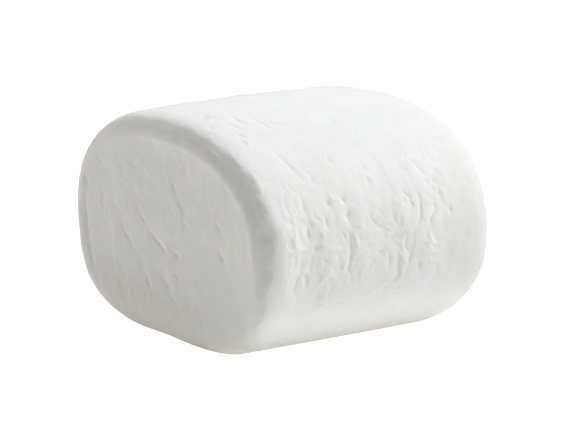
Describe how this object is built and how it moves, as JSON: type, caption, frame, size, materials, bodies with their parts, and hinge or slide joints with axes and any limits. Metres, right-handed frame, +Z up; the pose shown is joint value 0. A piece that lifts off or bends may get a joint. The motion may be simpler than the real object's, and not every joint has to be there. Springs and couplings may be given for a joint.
{
  "type": "marshmallow",
  "caption": "White marshmallow lying on its flattened side: a short pillow-like roll of D-shaped section with soft rims around its cut ends.",
  "frame": {"origin": "on the surface it rests on, under the middle of the body's box", "axes": "+Z up from the flattened underside to the crown, +Y along the roll from the cut end with the low lip to the one with the wider rim, +X across the roll to its wider side"},
  "size_m": [0.035, 0.0284, 0.0232],
  "materials": {
    "marshmallow": "matt, starch dusted, slightly translucent white"
  },
  "bodies": {
    "root": {"marshmallow": "marshmallow"}
  },
  "joints": []
}
